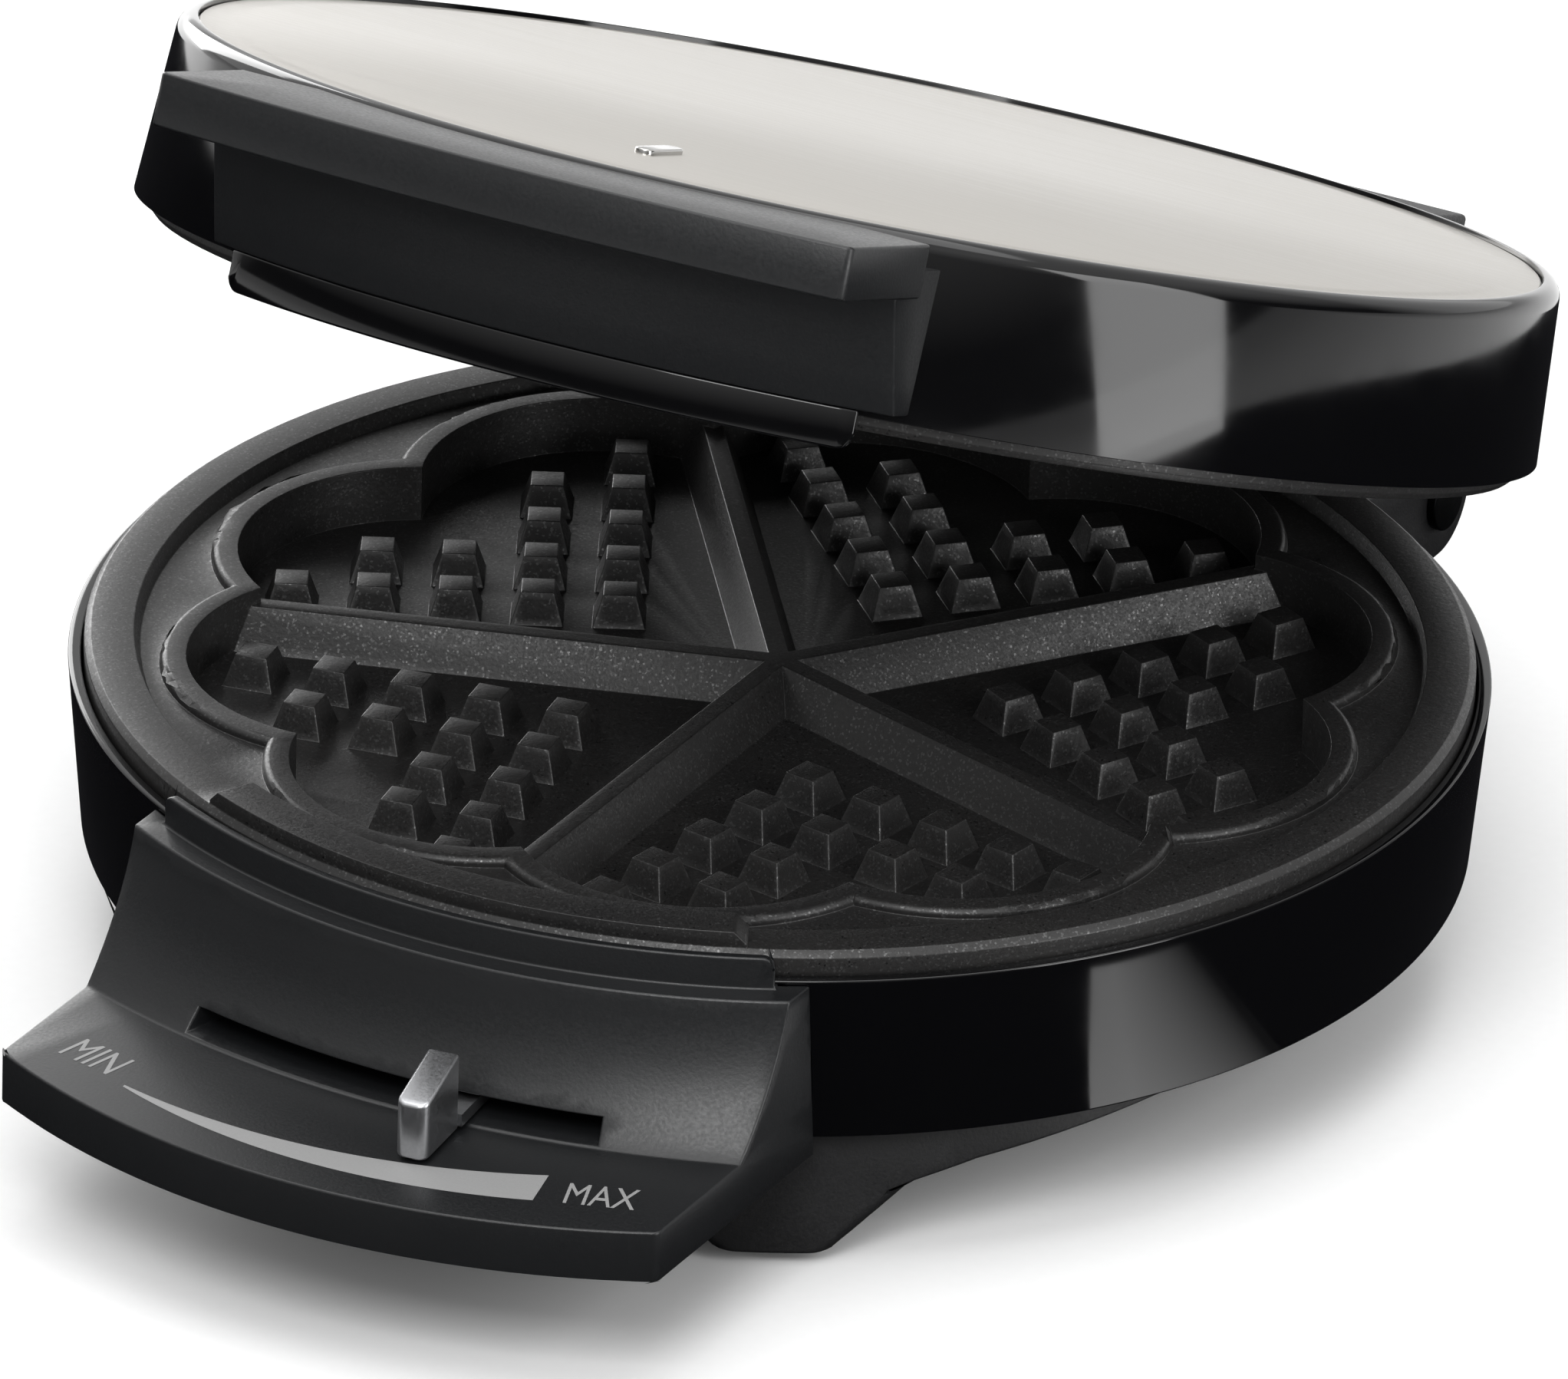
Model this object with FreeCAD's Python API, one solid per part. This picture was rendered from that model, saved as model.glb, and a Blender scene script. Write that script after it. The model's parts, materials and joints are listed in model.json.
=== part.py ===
import FreeCAD, Part
import math
import os

os.makedirs("parts", exist_ok=True)
V = FreeCAD.Vector

# Waffle maker with round plates that bake five hearts, in millimetres.
# The base axis is upright, the handles are at the front (-Y) and the hinge is at the rear (+Y).
# The lid is modelled closed and then turned up about the hinge to its half-open rest.

# Base ring and floor heights
foot_height = 2.0
floor_height = 22.0
base_wall_height = 27.0
base_top_radius = 107.5
base_bottom_radius = 105.2
shell_wall = 2.0
flange_thickness = 2.5
flange_width = 17.0
cover_depth = 4.5
cover_thickness = 2.3
cover_inset = 4.5

# Baking plates: both have the same hearts
plate_gap = 0.12
rim_above_shell = 3.5
rim_width = 7.5
rim_chamfer = 1.0
rim_skirt = 6.5
plate_thickness = 3.0
channel_depth = 2.5
bead_height = 1.5
bead_width = 4.0
bead_round = 1.2
cavity_depth = 9.0
heart_count = 5
lobe_inset = 31.0
lobe_radius = 29.0
ridge_width = 9.0
ridge_crest = 3.0
ridge_below_bead = 2.5
peg_pitch = 12.5
peg_foot = 9.0
peg_crest = 5.0
peg_height = 5.0
peg_margin = 1.5
dam_height = 2.5
dam_half_width = 46.0
dam_clearance = 1.0
dam_end_slope = 2.0

# Heaters under the plates
element_inset = 9.0
element_radius = 3.25
element_gap_angle = 34.0
element_seat = 0.1
cold_end_inset = 14.0
shield_overhang = 18.0
shield_thickness = 0.6
shield_gap = 0.35
shield_hole = 14.0
shield_leg_radius = 3.0
shield_leg_inset = 16.0

# Temperature control
thermostat_radius = 12.0
thermostat_clear = 0.1
spindle_radius = 3.0
spindle_grip = 4.0
running_clearance = 0.05
press_clearance = 0.02
lever_thickness = 2.0
lever_width = 6.0
lever_hub_radius = 6.0
lever_above_ledge = 1.0
knob_width = 5.0
knob_beyond_crease = 2.5
knob_depth = 12.2
knob_front_height = 9.0
knob_rise = 3.4
knob_above_ledge = 0.6
knob_round = 1.6
knob_angle = 5.7
slot_half_angle = 16.4
slot_beyond_crease = 3.4
slot_clearance = 0.7

# Base handle
handle_half_width = 55.5
ledge_top = 27.5
ledge_thickness = 8.2
ledge_front_radius = 116.0
ledge_out = 43.9
crease_out = 15.5
crease_radius = 148.0
shoulder_drop = 0.6
shoulder_out = 5.5
handle_gap = 0.15
rib_thickness = 1.6
rib_top = 4.5
rib_half_width = 51.0
rib_round = 2.0
rib_root = 1.0
handle_screw_x = 46.0
handle_screw_drop = 9.0
handle_screw_depth = 10.0

# Lid ring, measured with the lid closed
plate_rim_gap = 0.8
lid_shell_above_rim = 2.5
lid_wall_height = 27.7
lid_overhang = 0.1
lid_top_radius = 106.0
lid_top_round = 2.6
panel_inset = 3.2
panel_thickness = 1.0
panel_sink = 0.3
panel_gap = 0.3
panel_round = 0.6
seat_width = 15.0
seat_thickness = 2.4

# Lid handle and the skirt under it
flange_half_width = 57.8
flange_out = 24.0
flange_bow_radius = 226.0
flange_height = 8.0
flange_below_top = 0.5
flange_depth = 26.0
flange_round = 1.4
stem_out = 13.7
stem_over_skirt = 0.15
stem_half_width = 57.2
skirt_thickness = 1.7
skirt_clearance = 0.7
skirt_overlap = 2.6
skirt_half_width = 51.8
skirt_round = 2.5

# Hinge
hinge_out = 17.5
hinge_z = 36.7
lid_open_angle = 20.75
ear_inner = 38.0
ear_width = 10.5
ear_radius = 10.0
knuckle_radius = 8.5
knuckle_side_gap = 0.4
pin_radius = 3.0
pin_grip = 8.0
pin_head_radius = 5.0
pin_head_length = 1.5
block_half_width = 44.0
block_set_back = 1.0
block_root = 1.0
pin_end_gap = 0.5
block_below_top = 3.0
block_height = 21.0

# Legs, feet and fixings
leg_inset = 2.7
leg_angle = 61.34
leg_foot_width = 17.0
leg_knee_width = 42.0
leg_knee_height = 12.6
leg_wing_width = 60.0
leg_wing_height = 15.0
leg_wing_slope = 0.16
leg_depth = 19.0
leg_splay = 3.5
leg_round = 2.0
pad_inset = 1.5
boss_inset = 11.2
boss_margin = 1.6
boss_radius = 4.2
screw_radius = 2.0
screw_clearance = 0.05
screw_head_radius = 3.6
screw_head_height = 2.0
screw_bite = 1.6

# Electrical pieces
gland_bore = 3.6
gland_radius = 6.0
gland_flange_radius = 8.5
gland_length = 14.0
gland_inside = 3.5
gland_flange_length = 7.0
gland_height = 28.0
terminal_length = 52.0
terminal_width = 12.0
terminal_height = 6.0
lead_radius = 1.2
fuse_radius = 2.2
fuse_length = 22.0
lens_width = 3.2
lens_length = 12.0
lens_proud = 0.8
lens_inset = 15.8
lens_depth = 1.0
lens_round = 0.55
lamp_radius = 2.4
lamp_length = 16.0
holder_wall = 1.5
lamp_gap = 0.2

# Edges are picked within this distance of the plane or radius that they lie on
touch = 0.01

# Heights and radii that follow from the sizes above
base_top = floor_height + base_wall_height
flange_top = floor_height + flange_thickness
rim_z = base_top + rim_above_shell
lid_bottom_radius = base_top_radius + lid_overhang
inside_radius = min(base_bottom_radius, base_top_radius, lid_top_radius) - shell_wall
boss_circle = inside_radius - boss_inset
lobe_circle = boss_circle - lobe_inset
element_ring = lobe_circle - element_inset
cold_end_reach = boss_circle - cold_end_inset
shield_radius = element_ring + shield_overhang
shield_leg_circle = element_ring - shield_leg_inset
ledge_front_reach = base_top_radius + ledge_out
crease_reach = base_top_radius + crease_out
shoulder_radius = base_top_radius + shoulder_out
knob_inner = crease_reach + knob_beyond_crease
hinge_y = max(base_top_radius, base_bottom_radius) + hinge_out
block_rear = hinge_y - block_set_back
flange_reach = lid_top_radius + flange_out
stem_top_radius = lid_top_radius + stem_out
cover_rim = base_bottom_radius - cover_inset
leg_circle = cover_rim - leg_inset
leg_x = leg_circle * math.cos(math.radians(leg_angle))
leg_y = leg_circle * math.sin(math.radians(leg_angle))
channel_back = channel_depth + plate_thickness
cavity_floor = channel_depth - bead_height + cavity_depth
plate_back = cavity_floor + plate_thickness
upper_rim_z = rim_z + plate_rim_gap
lid_bottom = upper_rim_z + lid_shell_above_rim
lid_top = lid_bottom + lid_wall_height
panel_top = lid_top - panel_sink
panel_bottom = panel_top - panel_thickness
panel_radius = lid_top_radius - panel_inset
seat_top = panel_bottom
seat_bottom = seat_top - seat_thickness
seat_inner = min(panel_radius - seat_width, boss_circle - boss_radius)
lens_y = lens_inset - seat_inner
element_drop = plate_back + element_radius + element_seat
shield_drop = element_drop + element_radius + shield_gap + shield_thickness
lever_z = ledge_top + lever_above_ledge
boss_angles = [-126.0, -54.0, 18.0, 162.0]
hinge_rise = lid_top - block_below_top - hinge_z
open_turn = math.radians(lid_open_angle)
rear_reach = hinge_y + (block_rear - hinge_y) * math.cos(open_turn) + hinge_rise * math.sin(open_turn)
axis_y = (ledge_front_reach - rear_reach) / 2.0
hinge_base = V(0, hinge_y, hinge_z)
hinge_axis = V(-1, 0, 0)


def polar(radius, angle, z=0.0):
    turn = math.radians(angle)
    return V(radius * math.cos(turn), radius * math.sin(turn), z)


def block(x0, x1, y0, y1, z0, z1):
    return Part.makeBox(x1 - x0, y1 - y0, z1 - z0, V(x0, y0, z0))


def revolved(points):
    wire = Part.makePolygon([V(r, 0, z) for r, z in points + points[:1]])
    return Part.Face(wire).revolve(V(0, 0, 0), V(0, 0, 1), 360)


def sector(r0, r1, z0, z1, middle, half_angle):
    corners = [(r0, z0), (r1, z0), (r1, z1), (r0, z1), (r0, z0)]
    face = Part.Face(Part.makePolygon([V(r, 0, z) for r, z in corners]))
    face.rotate(V(0, 0, 0), V(0, 0, 1), middle - half_angle)
    return face.revolve(V(0, 0, 0), V(0, 0, 1), 2 * half_angle)


def half_angle_of(half_width, radius):
    return math.degrees(math.asin(half_width / radius))


def rounded(shape, radius, wanted):
    edges = [edge for edge in shape.Edges if wanted(edge)]
    return shape.makeFillet(radius, edges)


def is_upright(edge):
    if not isinstance(edge.Curve, Part.Line):
        return False
    return abs(edge.tangentAt(edge.FirstParameter).z) > 0.99


def screw(foot, direction, length):
    head = Part.makeCylinder(screw_head_radius, screw_head_height, foot, direction)
    shank = Part.makeCylinder(screw_radius, length, foot, direction)
    return head.fuse(shank)


def screw_hole(foot, direction, length):
    head_room = screw_head_radius + screw_clearance
    head = Part.makeCylinder(head_room, screw_head_height, foot, direction)
    shank = Part.makeCylinder(screw_radius + screw_clearance, length, foot, direction)
    return head.fuse(shank)


def group(solids):
    return Part.makeCompound(solids)


def put(name, shape):
    placed = shape.copy()
    placed.translate(V(0, axis_y, 0))
    placed.exportStep("parts/" + name + ".step")


def put_on_lid(name, shape):
    raised = shape.copy()
    raised.rotate(hinge_base, hinge_axis, lid_open_angle)
    put(name, raised)


# Outer and inner radius of each ring at a height, and the rings grown by a gap to trim what sits against them
def sloping(z, low_z, low_radius, high_z, high_radius):
    return low_radius + (high_radius - low_radius) * (z - low_z) / (high_z - low_z)


def base_radius_at(z):
    return sloping(z, floor_height, base_bottom_radius, base_top, base_top_radius)


def base_inside_at(z):
    return sloping(z, flange_top, base_bottom_radius, base_top, base_top_radius) - shell_wall


def lid_radius_at(z):
    return sloping(z, lid_bottom, lid_bottom_radius, lid_top, lid_top_radius)


def lid_inside_at(z):
    return sloping(z, lid_bottom, lid_bottom_radius, seat_bottom, lid_top_radius) - shell_wall


def base_wall_solid(gap, top):
    return revolved([(0, 0), (base_radius_at(0) + gap, 0), (base_radius_at(top) + gap, top), (0, top)])


def lid_wall_solid(gap):
    bottom = lid_bottom - floor_height
    top = lid_top + floor_height
    return revolved([(0, bottom), (lid_radius_at(bottom) + gap, bottom), (lid_radius_at(top) + gap, top), (0, top)])


# The rim of both plates clears the rings at its top and at the foot of its skirt
rim_room = [base_inside_at(base_top), base_inside_at(rim_z - rim_skirt)]
rim_room += [lid_inside_at(lid_bottom), lid_inside_at(upper_rim_z + rim_skirt)]
rim_radius = min(rim_room) - plate_gap
channel_radius = rim_radius - rim_width


# Baking plate with its hearts, rim face up at height zero
def flower(radius, z0, z1):
    petals = [Part.makeCylinder(lobe_circle, z1 - z0, V(0, 0, z0))]
    for k in range(2 * heart_count):
        centre = polar(lobe_circle, -90 + (k + 0.5) * 180.0 / heart_count, z0)
        petals.append(Part.makeCylinder(radius, z1 - z0, centre))
    return petals[0].fuse(petals[1:]).removeSplitter()


def ridge(angle):
    foot = -cavity_floor
    crest = -channel_depth + bead_height - ridge_below_bead
    half = ridge_width / 2
    tip = ridge_crest / 2
    profile = [V(0, -half, foot), V(0, half, foot), V(0, tip, crest), V(0, -tip, crest)]
    face = Part.Face(Part.makePolygon(profile + profile[:1]))
    bar = face.extrude(V(lobe_circle + lobe_radius, 0, 0))
    bar.rotate(V(0, 0, 0), V(0, 0, 1), angle)
    return bar


def square(u, v, side, z):
    half = side / 2
    corners = [V(u - half, v - half, z), V(u + half, v - half, z), V(u + half, v + half, z)]
    corners.append(V(u - half, v + half, z))
    return Part.makePolygon(corners + corners[:1])


def peg_fits(u, v):
    reach = peg_foot / math.sqrt(2) + peg_margin
    half_heart = math.radians(180.0 / heart_count)
    side_room = u * math.sin(half_heart) - abs(v) * math.cos(half_heart)
    if side_room < reach + ridge_width / 2 - peg_margin:
        return False
    lobe = polar(lobe_circle, 90.0 / heart_count)
    to_lobe = math.hypot(u - lobe.x, abs(v) - lobe.y)
    if to_lobe < lobe_radius - reach:
        return True
    return math.hypot(u, v) < lobe_circle and abs(v) < lobe.y


def pegs_of_heart(angle):
    pegs = []
    count = int((lobe_circle + lobe_radius) / peg_pitch) + 1
    step = peg_pitch / math.sqrt(2)
    for row in range(2 * count):
        for column in range(-count, count + 1):
            if (row + column) % 2:
                continue
            u = row * step
            v = column * step
            if not peg_fits(u, v):
                continue
            foot = square(0, 0, peg_foot, -cavity_floor - plate_thickness / 2)
            crest = square(0, 0, peg_crest, -cavity_floor + peg_height)
            peg = Part.makeLoft([foot, crest], True, True)
            peg.rotate(V(0, 0, 0), V(0, 0, 1), 45)
            peg.translate(V(u, v, 0))
            peg.rotate(V(0, 0, 0), V(0, 0, 1), angle)
            pegs.append(peg)
    return pegs


def baking_plate():
    inner = channel_radius - rim_chamfer
    disc = revolved([
        (0, -channel_depth),
        (inner, -channel_depth),
        (channel_radius, 0),
        (rim_radius - rim_chamfer, 0),
        (rim_radius, -rim_chamfer),
        (rim_radius, -rim_skirt),
        (rim_radius - plate_thickness, -rim_skirt),
        (rim_radius - plate_thickness, -channel_back),
        (0, -channel_back),
    ])
    bead = flower(lobe_radius + bead_width, -channel_back, -channel_depth + bead_height)
    bead_edges = [edge for edge in bead.Edges if edge.BoundBox.ZMin > -channel_depth]
    bead = bead.makeFillet(bead_round, bead_edges)
    pan = flower(lobe_radius + plate_thickness, -plate_back, -channel_back)
    cavity = flower(lobe_radius, -cavity_floor, plate_thickness)
    plate = disc.fuse([bead, pan]).cut(cavity)
    raised = []
    for k in range(heart_count):
        turn = 360.0 / heart_count
        raised.append(ridge(-90 + k * turn).common(cavity))
        raised += pegs_of_heart(-90 + (k + 0.5) * turn)
    return plate.fuse(raised).removeSplitter()


plate = baking_plate()
dam_angle = half_angle_of(dam_half_width, rim_radius)
dam = sector(channel_radius, rim_radius - rim_chamfer, -rim_chamfer, dam_height, -90, dam_angle)
dam_top = [edge for edge in dam.Edges if edge.BoundBox.ZMin > dam_height - touch]
dam = dam.makeChamfer(dam_end_slope, [edge for edge in dam_top if isinstance(edge.Curve, Part.Line)])
lower_plate = plate.fuse(dam).removeSplitter()
lower_plate.translate(V(0, 0, rim_z))

notch_angle = half_angle_of(dam_half_width + dam_clearance, rim_radius)
notch = sector(channel_radius - dam_clearance, rim_radius + dam_clearance,
               -dam_height - dam_clearance, dam_clearance, -90, notch_angle)
upper_plate = plate.cut(notch).mirror(V(0, 0, 0), V(0, 0, 1))
upper_plate.translate(V(0, 0, upper_rim_z))

# Long screws clamp the cover, the ring and the plate at four posts
cover_bottom = floor_height - cover_depth
plate_seat = rim_z - channel_back
base_screw_length = plate_seat + screw_bite - cover_bottom
base_screw_feet = [polar(boss_circle, a, cover_bottom) for a in boss_angles]
base_holes = [screw_hole(p, V(0, 0, 1), base_screw_length) for p in base_screw_feet]
put("assembly_screws", group([screw(p, V(0, 0, 1), base_screw_length) for p in base_screw_feet]))
put("lower_baking_plate", lower_plate.cut(base_holes))

# Base ring with its floor flange and plate posts
inner_bottom = base_bottom_radius - shell_wall
flange_inner = min(inner_bottom - flange_width, boss_circle - boss_radius - boss_margin)
base_shell = revolved([
    (base_bottom_radius, floor_height),
    (base_top_radius, base_top),
    (base_top_radius - shell_wall, base_top),
    (inner_bottom, flange_top),
    (flange_inner, flange_top),
    (flange_inner, floor_height),
])
base_posts = [Part.makeCylinder(boss_radius, plate_seat - floor_height,
                                polar(boss_circle, a, floor_height)) for a in boss_angles]
lever_low = lever_z - slot_clearance
lever_high = lever_z + lever_thickness + slot_clearance
lever_window = sector(flange_inner, max(base_top_radius, base_bottom_radius) + shell_wall,
                      lever_low, lever_high, -90, slot_half_angle)
gland_wall = base_radius_at(gland_height)
gland_axis = V(0, gland_wall - gland_inside, gland_height)
gland_hole = Part.makeCylinder(gland_radius + screw_clearance, gland_length, gland_axis, V(0, 1, 0))
handle_screw_z = base_top - handle_screw_drop
handle_wall_inside = base_radius_at(handle_screw_z) - shell_wall
handle_screw_y = -math.sqrt(handle_wall_inside ** 2 - handle_screw_x ** 2) + screw_head_height
handle_screw_length = handle_screw_depth + screw_head_height
base_handle_feet = [V(s * handle_screw_x, handle_screw_y, handle_screw_z) for s in (-1, 1)]
base_handle_holes = [screw_hole(p, V(0, -1, 0), handle_screw_length) for p in base_handle_feet]
base_shell = base_shell.fuse(base_posts).cut(base_holes + [lever_window, gland_hole] + base_handle_holes)
put("base_shell", base_shell)
put("base_handle_screws", group([screw(p, V(0, -1, 0), handle_screw_length) for p in base_handle_feet]))

# Bottom cover with four legs, and the rubber pads under them
cover = revolved([
    (0, cover_bottom),
    (cover_rim - 2 * cover_depth, cover_bottom),
    (cover_rim, floor_height),
    (cover_rim - cover_thickness, floor_height),
    (cover_rim - 2 * cover_depth - cover_thickness, cover_bottom + cover_thickness),
    (0, cover_bottom + cover_thickness),
])


# A leg is a buttress: a narrow foot that spreads at the knee into two long shallow wings under the ring
def leg_outline():
    wing_end = leg_circle
    wing_end_height = leg_wing_height + (wing_end - leg_wing_width / 2) * leg_wing_slope
    right = [
        (leg_foot_width / 2, foot_height),
        (leg_knee_width / 2, leg_knee_height),
        (leg_wing_width / 2, leg_wing_height),
        (wing_end, wing_end_height),
        (wing_end, wing_end_height + floor_height),
    ]
    return right + [(-t, z) for t, z in reversed(right)]


def leg(sx, sy):
    outline = [V(leg_circle - leg_depth, t, z) for t, z in leg_outline()]
    buttress = Part.Face(Part.makePolygon(outline + outline[:1])).extrude(V(2 * leg_depth, 0, 0))
    inner = leg_circle - leg_depth
    ring = revolved([
        (inner, foot_height),
        (cover_rim + leg_splay, foot_height),
        (cover_rim, floor_height),
        (cover_rim - cover_thickness, floor_height),
        (cover_rim - 2 * cover_depth, cover_bottom + cover_thickness / 2),
        (inner, cover_bottom + cover_thickness / 2),
    ])
    solid = buttress.common(ring)
    from_foot = lambda e: e.BoundBox.ZMin < foot_height + touch and e.BoundBox.ZLength > foot_height
    solid = rounded(solid, leg_round, from_foot)
    solid.rotate(V(0, 0, 0), V(0, 0, 1), math.degrees(math.atan2(sy * leg_y, sx * leg_x)))
    return solid


def foot_pad(sx, sy):
    spot = V(sx * leg_x, sy * leg_y, 0) * (1 - leg_depth / 2 / leg_circle)
    return Part.makeCylinder(leg_foot_width / 2 - pad_inset, foot_height, spot)


corners = [(-1, -1), (1, -1), (1, 1), (-1, 1)]
cover = cover.fuse([leg(sx, sy) for sx, sy in corners]).cut(base_holes)
head_way = screw_head_radius + screw_clearance
screw_ways = [Part.makeCylinder(head_way, cover_bottom, V(p.x, p.y, 0)) for p in base_screw_feet]
put("bottom_cover", cover.cut(screw_ways))
put("rubber_feet", group([foot_pad(sx, sy) for sx, sy in corners]))

# Base handle: sloping wall, ledge, glossy rib and the slot for the temperature lever
def handle_section(reach, radius, z):
    centre = radius - reach
    back = base_bottom_radius - 2 * shell_wall
    half = handle_half_width
    side = centre - math.sqrt(radius ** 2 - half ** 2)
    front = Part.Arc(V(-half, side, z), V(0, -reach, z), V(half, side, z)).toShape()
    right = Part.makeLine(V(half, side, z), V(half, -back / 2, z))
    rear = Part.makeLine(V(half, -back / 2, z), V(-half, -back / 2, z))
    left = Part.makeLine(V(-half, -back / 2, z), V(-half, side, z))
    return Part.Wire([front, right, rear, left])


above_base = base_top + floor_height
ledge_bottom = ledge_top - ledge_thickness
shoulder_z = base_top - shoulder_drop
ledge = Part.Face(handle_section(ledge_front_reach, ledge_front_radius, ledge_bottom))
ledge = ledge.extrude(V(0, 0, ledge_thickness))
ledge = rounded(ledge, knob_round, lambda e: is_upright(e) and e.BoundBox.YMax < -base_top_radius)
wall_rise = shoulder_z - ledge_top
run = crease_reach - shoulder_radius
wall_sections = []
for share, inward in ((0.0, 0.0), (0.3, 0.45), (0.65, 0.8), (1.0, 1.0)):
    reach = crease_reach - run * inward
    bend = crease_radius + (shoulder_radius - crease_radius) * inward
    wall_sections.append(handle_section(reach, bend, ledge_top + wall_rise * share))
handle_wall = Part.makeLoft(wall_sections, True, False)
rib_inner = base_top_radius + handle_gap
rib_angle = half_angle_of(rib_half_width, rib_inner)
rib_z = base_top + rib_top
rib = sector(rib_inner, rib_inner + rib_thickness, shoulder_z - rib_root, rib_z, -90, rib_angle)
rib = rounded(rib, rib_round, lambda e: isinstance(e.Curve, Part.Line) and e.BoundBox.ZMin > rib_z - touch)
slot_reach = crease_reach + slot_beyond_crease
slot = sector(base_bottom_radius / 2, slot_reach, lever_low, lever_high, -90, slot_half_angle)
rib = rib.cut(base_wall_solid(handle_gap, base_top))
base_handle = ledge.fuse([handle_wall]).cut(base_wall_solid(handle_gap, above_base)).fuse(rib)
base_handle = base_handle.cut([slot] + base_handle_holes).removeSplitter()
put("base_handle", base_handle)

# Heating element: one ring of tube with two cold ends at the rear
def heating_element():
    ring = Part.Face(Part.Wire(Part.makeCircle(element_radius, V(element_ring, 0, 0), V(0, 1, 0))))
    ring.rotate(V(0, 0, 0), V(0, 0, 1), 90 + element_gap_angle / 2)
    tube = ring.revolve(V(0, 0, 0), V(0, 0, 1), 360 - element_gap_angle)
    pieces = [tube]
    for side in (-1, 1):
        start = polar(element_ring, 90 + side * element_gap_angle / 2)
        pieces.append(Part.makeSphere(element_radius, start))
        x = start.x
        length = math.sqrt(cold_end_reach ** 2 - x ** 2) - start.y
        pieces.append(Part.makeCylinder(element_radius, length, start, V(0, 1, 0)))
    return pieces[0].fuse(pieces[1:]).removeSplitter()


def heat_shield():
    height = shield_drop - plate_back
    disc = Part.makeCylinder(shield_radius, shield_thickness)
    disc = disc.cut(Part.makeCylinder(shield_hole, shield_thickness))
    legs = []
    for k in range(3):
        spot = polar(shield_leg_circle, 30 + 120 * k)
        legs.append(Part.makeCylinder(shield_leg_radius, height, V(spot.x, spot.y, 0)))
    shield = disc.fuse(legs)
    shield.translate(V(0, 0, -shield_drop))
    return shield


element = heating_element()
shield = heat_shield()
lower_element = element.copy()
lower_element.translate(V(0, 0, rim_z - element_drop))
put("lower_heating_element", lower_element)
lower_shield = shield.copy()
lower_shield.translate(V(0, 0, rim_z))
put("lower_heat_shield", lower_shield)

# Thermostat under the middle of the lower plate, its spindle, lever and knob
plate_under = rim_z - plate_back
thermostat_bottom = lever_z + lever_thickness + slot_clearance
thermostat_height = plate_under - thermostat_clear - thermostat_bottom
thermostat = Part.makeCylinder(thermostat_radius, thermostat_height, V(0, 0, thermostat_bottom))
spindle_room = spindle_grip + running_clearance
spindle_bore = Part.makeCylinder(spindle_radius + running_clearance, spindle_room, V(0, 0, thermostat_bottom))
put("thermostat", thermostat.cut(spindle_bore))

spindle_length = lever_thickness + slot_clearance + spindle_grip
spindle = Part.makeCylinder(spindle_radius, spindle_length, V(0, 0, lever_z))
lever_arm = block(-lever_width / 2, lever_width / 2, -knob_inner, 0, lever_z, lever_z + lever_thickness)
lever_hub = Part.makeCylinder(lever_hub_radius, lever_thickness, V(0, 0, lever_z))
lever_bore = Part.makeCylinder(spindle_radius + press_clearance, lever_thickness, V(0, 0, lever_z))
lever = lever_arm.fuse(lever_hub).cut(lever_bore)
knob_bottom = ledge_top + knob_above_ledge
knob_profile = [
    V(-knob_width / 2, -knob_inner, knob_bottom),
    V(-knob_width / 2, -knob_inner - knob_depth, knob_bottom),
    V(-knob_width / 2, -knob_inner - knob_depth, knob_bottom + knob_front_height),
    V(-knob_width / 2, -knob_inner, knob_bottom + knob_front_height + knob_rise),
]
knob = Part.Face(Part.makePolygon(knob_profile + knob_profile[:1])).extrude(V(knob_width, 0, 0))
knob = rounded(knob, knob_round, lambda e: is_upright(e) and e.BoundBox.YMax < -knob_inner - knob_depth / 2)
for name, shape in (("thermostat_spindle", spindle), ("temperature_lever", lever), ("temperature_knob", knob)):
    shape.rotate(V(0, 0, 0), V(0, 0, 1), knob_angle)
    put(name, shape)

# Fuse, terminal block, leads and the gland for the supply
fuse_y = element_ring / 2
fuse_z = plate_under - fuse_radius - thermostat_clear
fuse_end = V(-fuse_length / 2, fuse_y, fuse_z)
put("thermal_fuse", Part.makeCylinder(fuse_radius, fuse_length, fuse_end, V(1, 0, 0)))
cover_inside = cover_bottom + cover_thickness
cold_x = polar(element_ring, 90 - element_gap_angle / 2).x
terminal_y = math.sqrt(cold_end_reach ** 2 - cold_x ** 2) - terminal_width / 2
terminal = block(-terminal_length / 2, terminal_length / 2, terminal_y - terminal_width / 2,
                 terminal_y + terminal_width / 2, cover_inside, cover_inside + terminal_height)
put("terminal_block", terminal)
lead_bottom = cover_inside + terminal_height
lead_length = rim_z - element_drop - element_radius - lead_bottom
leads = [Part.makeCylinder(lead_radius, lead_length, V(s * cold_x, terminal_y, lead_bottom)) for s in (-1, 1)]
put("heater_leads", group(leads))
gland = Part.makeCylinder(gland_radius, gland_length, gland_axis, V(0, 1, 0))
gland_flange = Part.makeCylinder(gland_flange_radius, gland_flange_length + gland_inside, gland_axis, V(0, 1, 0))
gland_way = Part.makeCylinder(gland_bore, gland_length, gland_axis, V(0, 1, 0))
gland_flange = gland_flange.cut(base_wall_solid(0.0, above_base))
put("cord_gland", gland.fuse(gland_flange).cut(gland_way))

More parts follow.
